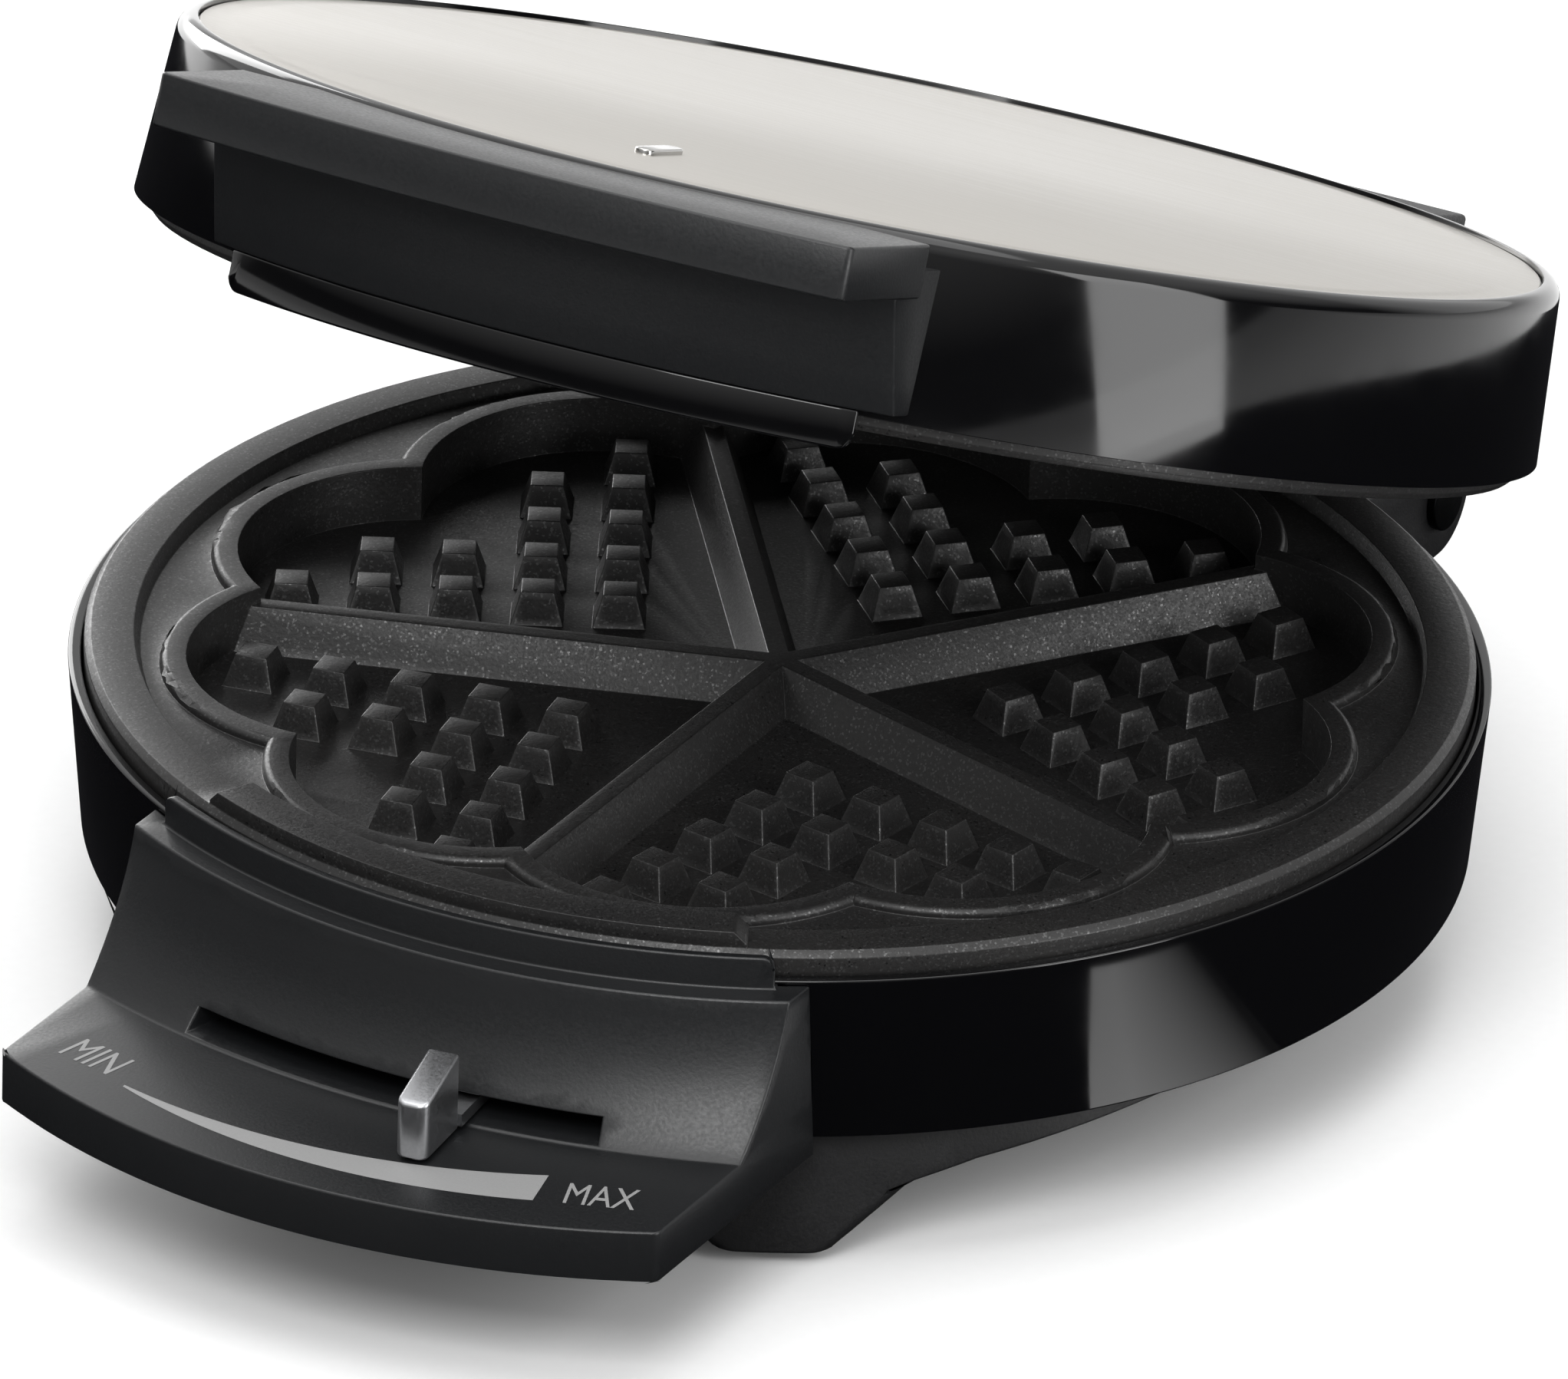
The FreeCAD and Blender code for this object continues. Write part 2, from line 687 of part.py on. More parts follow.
# Hinge: two ears on the base, a knuckle block on the lid and two pins
def ear(side):
    x0 = side * ear_inner
    x1 = side * (ear_inner + ear_width)
    left = min(x0, x1)
    arm = block(left, left + ear_width, hinge_y / 2, hinge_y, hinge_z - ear_radius, hinge_z + ear_radius)
    end = Part.makeCylinder(ear_radius, ear_width, V(left, hinge_y, hinge_z), V(1, 0, 0))
    bore = Part.makeCylinder(pin_radius + press_clearance, ear_width, V(left, hinge_y, hinge_z), V(1, 0, 0))
    return arm.fuse(end).removeSplitter().cut([base_wall_solid(handle_gap, above_base), bore])


def pin(side):
    start = V(side * (ear_inner - pin_grip), hinge_y, hinge_z)
    shaft = Part.makeCylinder(pin_radius, pin_grip + ear_width, start, V(side, 0, 0))
    head_at = V(side * (ear_inner + ear_width), hinge_y, hinge_z)
    head = Part.makeCylinder(pin_head_radius, pin_head_length, head_at, V(side, 0, 0))
    return shaft.fuse(head)


put("base_hinge_ears", group([ear(-1), ear(1)]))
put("hinge_pins", group([pin(-1), pin(1)]))
knuckle_half = ear_inner - knuckle_side_gap
block_top = lid_top - block_below_top
block_bottom = block_top - block_height
lid_block = block(-block_half_width, block_half_width, hinge_y / 2, block_rear, block_bottom, block_top)
neck_front = hinge_y - knuckle_radius
neck_top = block_bottom + block_root
neck_outline = [(neck_front, hinge_z), (hinge_y + knuckle_radius, hinge_z), (block_rear, neck_top)]
neck_outline += [(neck_front, neck_top), (neck_front, hinge_z)]
neck = Part.Face(Part.makePolygon([V(-knuckle_half, y, z) for y, z in neck_outline]))
neck = neck.extrude(V(2 * knuckle_half, 0, 0))
barrel = Part.makeCylinder(knuckle_radius, 2 * knuckle_half, V(-knuckle_half, hinge_y, hinge_z), V(1, 0, 0))
pin_bore_depth = pin_grip - knuckle_side_gap + pin_end_gap
pin_bores = [Part.makeCylinder(pin_radius + running_clearance, pin_bore_depth,
                               V(s * knuckle_half, hinge_y, hinge_z), V(-s, 0, 0)) for s in (-1, 1)]
lid_block = lid_block.cut(lid_wall_solid(handle_gap))
lid_block = lid_block.fuse([neck, barrel]).removeSplitter().cut(pin_bores)
hinge_screw_z = block_bottom + block_height / 2
hinge_wall_inside = lid_radius_at(hinge_screw_z) - shell_wall
hinge_screw_y = math.sqrt(hinge_wall_inside ** 2 - (block_half_width / 2) ** 2) - 2 * screw_head_height
hinge_screw_length = handle_screw_depth + 2 * screw_head_height
hinge_screw_feet = [V(s * block_half_width / 2, hinge_screw_y, hinge_screw_z) for s in (-1, 1)]
hinge_holes = [screw_hole(p, V(0, 1, 0), hinge_screw_length) for p in hinge_screw_feet]
put_on_lid("lid_hinge_block", lid_block.cut(hinge_holes))
hinge_screws = [screw(p, V(0, 1, 0), hinge_screw_length) for p in hinge_screw_feet]
put_on_lid("hinge_block_screws", group(hinge_screws))

# Lid ring with the seat for its top panel and four plate posts
lid_inner = lid_bottom_radius - shell_wall
lid_shell = revolved([
    (lid_bottom_radius, lid_bottom),
    (lid_top_radius, lid_top),
    (panel_radius + panel_gap, lid_top),
    (panel_radius + panel_gap, seat_top),
    (seat_inner, seat_top),
    (seat_inner, seat_bottom),
    (lid_top_radius - shell_wall, seat_bottom),
    (lid_inner, lid_bottom),
])
lean = math.atan2(lid_top_radius - lid_bottom_radius, lid_wall_height)
top_land = panel_inset - panel_gap
corner_room = top_land * math.tan((math.pi / 2 - lean) / 2) - panel_gap
on_corner = lambda e: e.BoundBox.ZMin > lid_top - touch and e.BoundBox.XMax > lid_top_radius - touch
lid_shell = rounded(lid_shell, min(lid_top_round, corner_room), on_corner)
upper_seat = upper_rim_z + channel_back
lid_posts = [Part.makeCylinder(boss_radius, seat_top - upper_seat,
                               polar(boss_circle, a, upper_seat)) for a in boss_angles]
lid_screw_length = seat_top - upper_seat + screw_bite
lid_screw_feet = [polar(boss_circle, a, seat_top) for a in boss_angles]
lid_holes = [screw_hole(p, V(0, 0, -1), lid_screw_length) for p in lid_screw_feet]
skirt_inner = rib_inner + rib_thickness + skirt_clearance
stem_bottom_radius = skirt_inner + skirt_thickness + stem_over_skirt
stem_bottom = lid_bottom + skirt_overlap / 2
lid_handle_screw_z = lid_top - flange_below_top - flange_height - 2 * screw_head_radius
lid_wall_inside = lid_radius_at(lid_handle_screw_z) - shell_wall
lid_handle_y = -math.sqrt(lid_wall_inside ** 2 - handle_screw_x ** 2) + 2 * screw_head_height
lid_handle_feet = [V(s * handle_screw_x, lid_handle_y, lid_handle_screw_z) for s in (-1, 1)]
lid_handle_holes = [screw_hole(p, V(0, -1, 0), hinge_screw_length) for p in lid_handle_feet]
lid_shell = lid_shell.fuse(lid_posts).cut(lid_holes + hinge_holes + lid_handle_holes)
put_on_lid("lid_shell", lid_shell)
put_on_lid("lid_plate_screws", group([screw(p, V(0, 0, -1), lid_screw_length) for p in lid_screw_feet]))
put_on_lid("upper_baking_plate", upper_plate.cut(lid_holes))

# Steel top panel, the lamp under it and the lens that shows through
panel = Part.makeCylinder(panel_radius, panel_thickness, V(0, 0, panel_bottom))
panel = rounded(panel, panel_round, lambda e: e.BoundBox.ZMin > panel_top - touch)


def lens_shape(grow, z0, z1):
    half = lens_width / 2 + grow
    run = lens_length / 2 - lens_width / 2
    bar = block(-half, half, lens_y - run, lens_y + run, z0, z1)
    ends = [Part.makeCylinder(half, z1 - z0, V(0, lens_y + s * run, z0)) for s in (-1, 1)]
    return bar.fuse(ends).removeSplitter()


lens_top = panel_top + lens_proud
lens_bottom = panel_bottom - lens_depth
lens = lens_shape(0.0, lens_bottom, lens_top)
lens = rounded(lens, lens_round, lambda e: e.BoundBox.ZMin > lens_top - touch)
put_on_lid("lid_top_panel", panel.cut(lens_shape(handle_gap, panel_bottom, panel_top)))
put_on_lid("pilot_lens", lens)
holder_half = lamp_radius + holder_wall
lamp_z = lens_bottom - lamp_radius - lamp_gap
holder_bottom = lamp_z - lamp_radius - holder_wall
lamp_front = lens_y - lamp_length / 2
lamp_back = lens_y + lamp_length / 2
holder = block(-holder_half, holder_half, lamp_front - holder_wall, lamp_back, holder_bottom, panel_bottom)
lamp_way = Part.makeCylinder(lamp_radius + handle_gap, lamp_length + holder_wall, V(0, lamp_front, lamp_z), V(0, 1, 0))
put_on_lid("lamp_holder", holder.cut([lamp_way, lens_shape(handle_gap, lamp_z, panel_bottom)]))
lamp = Part.makeCylinder(lamp_radius, lamp_length, V(0, lamp_front + handle_gap, lamp_z), V(0, 1, 0))
put_on_lid("pilot_lamp", lamp)

# Upper heater, a mirror of the lower one
upper_element = element.mirror(V(0, 0, 0), V(0, 0, 1))
upper_element.translate(V(0, 0, upper_rim_z + element_drop))
put_on_lid("upper_heating_element", upper_element)
upper_shield = shield.mirror(V(0, 0, 0), V(0, 0, 1))
upper_shield.translate(V(0, 0, upper_rim_z))
put_on_lid("upper_heat_shield", upper_shield)

# Lid handle: bowed flange on a sloping wall, and the glossy skirt that hangs below it
flange_top_z = lid_top - flange_below_top
flange_bottom_z = flange_top_z - flange_height
flange_side = flange_bow_radius - flange_reach - math.sqrt(flange_bow_radius ** 2 - flange_half_width ** 2)
flange_back = flange_side + flange_depth
front_left = V(-flange_half_width, flange_side, flange_bottom_z)
front_right = V(flange_half_width, flange_side, flange_bottom_z)
back_right = V(flange_half_width, flange_back, flange_bottom_z)
back_left = V(-flange_half_width, flange_back, flange_bottom_z)
flange_wire = Part.Wire([
    Part.Arc(front_left, V(0, -flange_reach, flange_bottom_z), front_right).toShape(),
    Part.makeLine(front_right, back_right),
    Part.makeLine(back_right, back_left),
    Part.makeLine(back_left, front_left),
])
flange = Part.Face(flange_wire).extrude(V(0, 0, flange_height))
flange = rounded(flange, flange_round, lambda e: is_upright(e) and e.BoundBox.YMax < flange_side + touch)
stem = revolved([
    (lid_bottom_radius / 2, stem_bottom),
    (stem_bottom_radius, stem_bottom),
    (stem_top_radius, flange_bottom_z + flange_height / 2),
    (lid_bottom_radius / 2, flange_bottom_z + flange_height / 2),
])
stem = stem.common(block(-stem_half_width, stem_half_width, -2 * stem_top_radius, 0, 0, 2 * lid_top))
lid_handle = flange.fuse(stem).cut(lid_wall_solid(handle_gap)).removeSplitter()
put_on_lid("lid_handle", lid_handle.cut(lid_handle_holes))
lid_handle_screws = [screw(p, V(0, -1, 0), hinge_screw_length) for p in lid_handle_feet]
put_on_lid("lid_handle_screws", group(lid_handle_screws))
skirt_bottom = base_top + rib_top - skirt_overlap
skirt_angle = half_angle_of(skirt_half_width, skirt_inner)
skirt = sector(skirt_inner, skirt_inner + skirt_thickness, skirt_bottom, stem_bottom, -90, skirt_angle)
at_lower_end = lambda e: isinstance(e.Curve, Part.Line) and e.BoundBox.ZMax < skirt_bottom + touch
skirt = rounded(skirt, skirt_round, at_lower_end)
put_on_lid("lid_handle_skirt", skirt)
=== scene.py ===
import json
import math

import bpy
from mathutils import Matrix, Vector


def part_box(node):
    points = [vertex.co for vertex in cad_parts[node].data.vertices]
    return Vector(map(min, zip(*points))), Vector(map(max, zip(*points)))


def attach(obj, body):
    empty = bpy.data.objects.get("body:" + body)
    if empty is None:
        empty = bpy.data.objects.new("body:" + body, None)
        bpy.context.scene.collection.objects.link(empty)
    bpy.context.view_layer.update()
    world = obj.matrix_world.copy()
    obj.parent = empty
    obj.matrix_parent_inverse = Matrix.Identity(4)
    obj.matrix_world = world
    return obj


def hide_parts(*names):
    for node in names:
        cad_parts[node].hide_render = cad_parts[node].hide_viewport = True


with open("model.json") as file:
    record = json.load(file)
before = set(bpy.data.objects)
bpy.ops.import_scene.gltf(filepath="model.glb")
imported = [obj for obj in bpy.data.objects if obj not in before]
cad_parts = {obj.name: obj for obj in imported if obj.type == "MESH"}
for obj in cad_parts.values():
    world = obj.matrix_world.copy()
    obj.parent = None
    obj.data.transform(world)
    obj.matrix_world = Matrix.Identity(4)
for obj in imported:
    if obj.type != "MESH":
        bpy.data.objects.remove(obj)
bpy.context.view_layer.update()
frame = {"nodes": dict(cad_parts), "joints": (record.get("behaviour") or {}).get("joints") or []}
MM = 0.001

# Bottom cover: one matt black polypropylene moulding with four legs that spread upwards into wings.
# It closes the base from below, and the long screws that hold the plate pass through it.
# Its mould was spark eroded, which leaves a fine grain that scatters the light.


def linear(colour):
    channels = [int(colour[i:i + 2], 16) / 255 for i in (1, 3, 5)]
    return [c / 12.92 if c <= 0.04045 else ((c + 0.055) / 1.055) ** 2.4 for c in channels] + [1.0]


def add_node(tree, kind, settings={}, inputs={}):
    made = tree.nodes.new(kind)
    for name, value in settings.items():
        setattr(made, name, value)
    for name, value in inputs.items():
        if isinstance(value, bpy.types.NodeSocket):
            tree.links.new(value, made.inputs[name])
        else:
            made.inputs[name].default_value = value
    return made


def start_material(name):
    material = bpy.data.materials.new(name)
    material.use_nodes = True
    tree = material.node_tree
    tree.nodes.clear()
    place = add_node(tree, "ShaderNodeTexCoord").outputs["Object"]
    return material, tree, place


def moulded_plastic(name, colour, worn_colour, roughness, grain, depth):
    # A cloudy change of colour over some 30 mm and a pebbled grain keep a moulding from looking painted
    # The grain's width and depth are in mm
    material, tree, place = start_material(name)
    clouds = add_node(tree, "ShaderNodeTexNoise", {}, {
        "Vector": place, "Scale": 1 / (30 * MM), "Detail": 3.0})
    pebbles = add_node(tree, "ShaderNodeTexNoise", {}, {
        "Vector": place, "Scale": 1 / (grain * MM), "Detail": 2.0})
    shade = add_node(tree, "ShaderNodeMix", {"data_type": "RGBA"}, {"Factor": clouds.outputs["Fac"]})
    shade.inputs["A"].default_value = linear(colour)
    shade.inputs["B"].default_value = linear(worn_colour)
    polish = add_node(tree, "ShaderNodeMapRange", {}, {
        "Value": pebbles.outputs["Fac"], "From Min": 0.3, "From Max": 0.7,
        "To Min": roughness * 0.85, "To Max": roughness * 1.15})
    relief = add_node(tree, "ShaderNodeBump", {}, {
        "Height": pebbles.outputs["Fac"], "Distance": depth * MM, "Strength": 1.0})
    surface = add_node(tree, "ShaderNodeBsdfPrincipled", {}, {
        "Base Color": shade.outputs["Result"], "Roughness": polish.outputs["Result"],
        "IOR": 1.49, "Normal": relief.outputs["Normal"]})
    add_node(tree, "ShaderNodeOutputMaterial", {}, {"Surface": surface.outputs["BSDF"]})
    return material


def pick_alone(piece):
    bpy.ops.object.select_all(action="DESELECT")
    piece.select_set(True)
    bpy.context.view_layer.objects.active = piece


def finish_piece(piece, material, body, node):
    pick_alone(piece)
    bpy.ops.object.shade_smooth_by_angle(angle=math.radians(38))
    piece.data.materials.clear()
    piece.data.materials.append(material)
    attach(piece, body)
    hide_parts(node)


def softened(node, body, material, edge, join_flats=True):
    # The moulding or casting of a node with the small round, in mm, that every real edge has
    piece = bpy.data.objects.new(node + "_finished", frame["nodes"][node].data.copy())
    bpy.context.scene.collection.objects.link(piece)
    pick_alone(piece)
    bpy.ops.mesh.customdata_custom_splitnormals_clear()
    bpy.ops.object.mode_set(mode="EDIT")
    bpy.ops.mesh.select_mode(type="EDGE")
    bpy.ops.mesh.select_all(action="SELECT")
    bpy.ops.mesh.remove_doubles(threshold=0.002 * MM)
    if join_flats:
        bpy.ops.mesh.dissolve_limited(angle_limit=math.radians(0.2))
    bpy.ops.mesh.select_all(action="DESELECT")
    bpy.ops.mesh.edges_select_sharp(sharpness=math.radians(32))
    bpy.ops.mesh.bevel(offset=edge * MM, segments=3, profile=0.5, clamp_overlap=False)
    bpy.ops.object.mode_set(mode="OBJECT")
    finish_piece(piece, material, body, node)


matt_black_pp = moulded_plastic("matt_black_polypropylene", "#101012", "#161617",
                                roughness=0.55, grain=0.5, depth=0.03)
softened("bottom_cover", "base", matt_black_pp, edge=0.6)

# Rubber pads: four soft black discs glued under the legs.
# Moulded rubber is dull, a little dusty and slightly uneven.
black_rubber = moulded_plastic("black_rubber", "#151515", "#1f1e1d", roughness=0.85, grain=0.8, depth=0.05)
softened("rubber_feet", "base", black_rubber, edge=0.4)


# Base ring: a tapered ring of high-gloss black ABS that all the lower pieces fix to.
# The polished mould gives it a mirror-like skin with only a faint waviness.
def gloss_plastic(name, colour):
    material, tree, place = start_material(name)
    haze = add_node(tree, "ShaderNodeTexNoise", {}, {
        "Vector": place, "Scale": 1 / (12 * MM), "Detail": 4.0})
    wave = add_node(tree, "ShaderNodeTexNoise", {}, {
        "Vector": place, "Scale": 1 / (18 * MM), "Detail": 1.0})
    polish = add_node(tree, "ShaderNodeMapRange", {}, {
        "Value": haze.outputs["Fac"], "From Min": 0.3, "From Max": 0.7, "To Min": 0.06, "To Max": 0.11})
    relief = add_node(tree, "ShaderNodeBump", {}, {
        "Height": wave.outputs["Fac"], "Distance": 0.006 * MM, "Strength": 1.0})
    surface = add_node(tree, "ShaderNodeBsdfPrincipled", {}, {
        "Base Color": linear(colour), "Roughness": polish.outputs["Result"],
        "IOR": 1.5, "Normal": relief.outputs["Normal"]})
    add_node(tree, "ShaderNodeOutputMaterial", {}, {"Surface": surface.outputs["BSDF"]})
    return material


def turned(name, outline, edge):
    # A ring drawn up from a circle, one corner of its section after another, with every corner rounded
    bpy.ops.object.select_all(action="DESELECT")
    bpy.ops.mesh.primitive_circle_add(vertices=256, radius=outline[0][0], location=(0, axis_y, outline[0][1]))
    ring = bpy.context.object
    ring.name = name
    bpy.ops.object.mode_set(mode="EDIT")
    bpy.ops.mesh.select_mode(type="EDGE")
    bpy.ops.mesh.select_all(action="SELECT")
    for (radius, z), (next_radius, next_z) in zip(outline, outline[1:] + outline[:1]):
        bpy.ops.mesh.extrude_region_move(TRANSFORM_OT_translate={"value": (0, 0, next_z - z)})
        grow = next_radius / radius
        bpy.ops.transform.resize(value=(grow, grow, 1), center_override=(0, axis_y, next_z))
    bpy.ops.mesh.select_all(action="SELECT")
    bpy.ops.mesh.remove_doubles(threshold=0.002 * MM)
    bpy.ops.mesh.normals_make_consistent(inside=False)
    bpy.ops.mesh.select_all(action="DESELECT")
    bpy.ops.mesh.edges_select_sharp(sharpness=math.radians(32))
    bpy.ops.mesh.bevel(offset=edge, segments=3, profile=0.5)
    bpy.ops.object.mode_set(mode="OBJECT")
    bpy.ops.object.transform_apply()
    return ring


def cut_away(piece, cutter):
    # What is taken out of a finished ring: the cutter is only a tool and goes when the cut is made
    cut = piece.modifiers.new("cut", "BOOLEAN")
    cut.object = cutter
    cut.solver = "EXACT"
    bpy.ops.object.select_all(action="DESELECT")
    bpy.context.view_layer.objects.active = piece
    bpy.ops.object.modifier_apply(modifier="cut")
    bpy.data.objects.remove(cutter)


axis_y = (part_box("thermostat")[0].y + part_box("thermostat")[1].y) / 2
ring_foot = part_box("base_shell")[0].z
ring_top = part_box("base_shell")[1].z
ring_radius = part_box("base_shell")[1].x
ring_draft = 2.3 * MM
ring_wall = 2.0 * MM
ring_edge_round = 0.35 * MM
foot_flange_width = 17.0 * MM
foot_flange_thickness = 2.5 * MM
inner_foot = ring_radius - ring_draft - ring_wall
gloss_black_abs = gloss_plastic("gloss_black_abs", "#050506")
base_ring = turned("base_ring_gloss", [
    (ring_radius - ring_draft, ring_foot),
    (ring_radius, ring_top),
    (ring_radius - ring_wall, ring_top),
    (inner_foot, ring_foot + foot_flange_thickness),
    (inner_foot - foot_flange_width, ring_foot + foot_flange_thickness),
    (inner_foot - foot_flange_width, ring_foot),
], ring_edge_round)
lever_low, lever_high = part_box("temperature_lever")
window_width = 61 * MM
window_clearance = 0.7 * MM
window_height = lever_high.z - lever_low.z + 2 * window_clearance
window_reach = 40 * MM
bpy.ops.mesh.primitive_cube_add(size=1, location=(0, axis_y - ring_radius, (lever_low.z + lever_high.z) / 2))
lever_window = bpy.context.object
lever_window.scale = (window_width, window_reach, window_height)
cut_away(base_ring, lever_window)
gland_low, gland_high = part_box("cord_gland")
gland_z = (gland_low.z + gland_high.z) / 2
gland_hole_radius = 6.05 * MM
gland_hole_reach = 30 * MM
bpy.ops.mesh.primitive_cylinder_add(vertices=48, radius=gland_hole_radius, depth=gland_hole_reach,
                                    rotation=(math.pi / 2, 0, 0), location=(0, axis_y + ring_radius, gland_z))
cut_away(base_ring, bpy.context.object)
finish_piece(base_ring, gloss_black_abs, "base", "base_shell")


# Screws of the base: zinc-plated steel, turned and rolled, most of them out of sight.
# Plating is bright but slightly cloudy.
def bare_metal(name, colour, dull_colour, roughness, grain):
    material, tree, place = start_material(name)
    tarnish = add_node(tree, "ShaderNodeTexNoise", {}, {
        "Vector": place, "Scale": 1 / (grain * MM), "Detail": 5.0})
    shade = add_node(tree, "ShaderNodeMix", {"data_type": "RGBA"}, {"Factor": tarnish.outputs["Fac"]})
    shade.inputs["A"].default_value = linear(colour)
    shade.inputs["B"].default_value = linear(dull_colour)
    polish = add_node(tree, "ShaderNodeMapRange", {}, {
        "Value": tarnish.outputs["Fac"], "To Min": roughness * 0.7, "To Max": roughness * 1.3})
    relief = add_node(tree, "ShaderNodeBump", {}, {
        "Height": tarnish.outputs["Fac"], "Distance": 0.01 * MM, "Strength": 0.6})
    surface = add_node(tree, "ShaderNodeBsdfPrincipled", {}, {
        "Base Color": shade.outputs["Result"], "Metallic": 1.0, "Roughness": polish.outputs["Result"],
        "Normal": relief.outputs["Normal"]})
    add_node(tree, "ShaderNodeOutputMaterial", {}, {"Surface": surface.outputs["BSDF"]})
    return material


def dress(node, material):
    mesh = frame["nodes"][node].data
    mesh.materials.clear()
    mesh.materials.append(material)


zinc_plated_steel = bare_metal("zinc_plated_steel", "#b9babc", "#8e8f92", roughness=0.32, grain=2.0)
for name in ("assembly_screws", "base_handle_screws"):
    dress(name, zinc_plated_steel)

# Lower heater: a sheathed tube element under the plate, and a pressed aluminium shield below it.
# The sheath has the dull bluish-brown colour of steel that has been hot.
heated_steel = bare_metal("heated_steel_sheath", "#6d645c", "#4c4f5a", roughness=0.5, grain=6.0)
pressed_aluminium = bare_metal("pressed_aluminium", "#d3d4d6", "#b4b5b8", roughness=0.35, grain=5.0)
dress("lower_heating_element", heated_steel)
dress("lower_heat_shield", pressed_aluminium)

# Thermostat, fuse, terminal block and leads: steatite ceramic bodies and silicone-covered wire.
# Steatite is off-white, unglazed and slightly chalky.
steatite = moulded_plastic("unglazed_steatite", "#e6e1d4", "#d6cfbf", roughness=0.7, grain=0.6, depth=0.03)
silicone_wire = moulded_plastic("silicone_wire_cover", "#d9d7d0", "#c4c1b8",
                                roughness=0.5, grain=1.0, depth=0.02)
dress("thermostat", steatite)
dress("thermal_fuse", steatite)
dress("terminal_block", steatite)
dress("heater_leads", silicone_wire)


# Lower baking plate: die-cast aluminium with a dark non-stick coat, five hearts round the middle.
# The coat is charcoal grey with fine mineral flecks that glint, and it is satin rather than shiny.
def non_stick_coat(name):
    material, tree, place = start_material(name)
    # Real flecks are about 0.1 mm; they are drawn at 0.3 mm so that the render can show them
    cells = add_node(tree, "ShaderNodeTexVoronoi", {}, {"Vector": place, "Scale": 1 / (0.3 * MM)})
    chance = add_node(tree, "ShaderNodeSeparateColor", {}, {"Color": cells.outputs["Color"]})
    flecks = add_node(tree, "ShaderNodeMapRange", {}, {
        "Value": chance.outputs["Red"], "From Min": 0.86, "From Max": 0.98})
    clouds = add_node(tree, "ShaderNodeTexNoise", {}, {
        "Vector": place, "Scale": 1 / (25 * MM), "Detail": 4.0})
    coat = add_node(tree, "ShaderNodeMix", {"data_type": "RGBA"}, {"Factor": clouds.outputs["Fac"]})
    coat.inputs["A"].default_value = linear("#1d1d1e")
    coat.inputs["B"].default_value = linear("#272625")
    shade = add_node(tree, "ShaderNodeMix", {"data_type": "RGBA"}, {"Factor": flecks.outputs["Result"]})
    tree.links.new(coat.outputs["Result"], shade.inputs["A"])
    shade.inputs["B"].default_value = linear("#5c5c5c")
    polish = add_node(tree, "ShaderNodeMapRange", {}, {
        "Value": chance.outputs["Green"], "To Min": 0.3, "To Max": 0.46})
    grain = add_node(tree, "ShaderNodeTexNoise", {}, {
        "Vector": place, "Scale": 1 / (0.6 * MM), "Detail": 2.0})
    relief = add_node(tree, "ShaderNodeBump", {}, {
        "Height": grain.outputs["Fac"], "Distance": 0.03 * MM, "Strength": 1.0})
    surface = add_node(tree, "ShaderNodeBsdfPrincipled", {}, {
        "Base Color": shade.outputs["Result"], "Metallic": flecks.outputs["Result"],
        "Roughness": polish.outputs["Result"], "IOR": 1.45, "Normal": relief.outputs["Normal"]})
    add_node(tree, "ShaderNodeOutputMaterial", {}, {"Surface": surface.outputs["BSDF"]})
    return material


coated_casting = non_stick_coat("non_stick_coated_casting")
softened("lower_baking_plate", "base", coated_casting, edge=0.15, join_flats=False)

# Base handle: one satin charcoal moulding with a sloping wall, a ledge and a raised rib at the ring.
# It is screwed to the ring from inside, and its fine grain gives a soft grey sheen where light grazes it.
satin_charcoal = moulded_plastic("satin_charcoal_polypropylene", "#131416", "#191a1b",
                                 roughness=0.36, grain=0.55, depth=0.02)
softened("base_handle", "base", satin_charcoal, edge=0.4, join_flats=False)

# Heat scale: light grey ink, pad printed on the ledge as a crescent that widens towards the hot end.
# It lies between two arcs that leave the same tip, and a short word stands at each end of it.
ledge_height = 8.2 * MM
ledge_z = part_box("base_handle")[0].z + ledge_height
ink_thickness = 0.04 * MM


def printed_ink(name, colour):
    material, tree, place = start_material(name)
    speckle = add_node(tree, "ShaderNodeTexNoise", {}, {
        "Vector": place, "Scale": 1 / (0.4 * MM), "Detail": 2.0})
    shade = add_node(tree, "ShaderNodeHueSaturation", {}, {"Color": linear(colour)})
    cover = add_node(tree, "ShaderNodeMapRange", {}, {
        "Value": speckle.outputs["Fac"], "To Min": 0.92, "To Max": 1.06})
    tree.links.new(cover.outputs["Result"], shade.inputs["Value"])
    surface = add_node(tree, "ShaderNodeBsdfPrincipled", {}, {
        "Base Color": shade.outputs["Color"], "Roughness": 0.55})
    add_node(tree, "ShaderNodeOutputMaterial", {}, {"Surface": surface.outputs["BSDF"]})
    return material


grey_ink = printed_ink("light_grey_ink", "#929292")
scale_tip = -34.4 * MM
scale_end = 33.9 * MM
end_slant = 0.9 * MM
inner_arc = (-10.4 * MM, -46.1 * MM, 94.2 * MM)
outer_arc = (0.3 * MM, -53.7 * MM, 90.9 * MM)


def arc_y(arc, x):
    # An arc is the x and y of its centre and its radius
    return arc[1] - math.sqrt(arc[2] ** 2 - (x - arc[0]) ** 2)


def finish_print(piece):
    piece.data.materials.clear()
    piece.data.materials.append(grey_ink)
    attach(piece, "base")


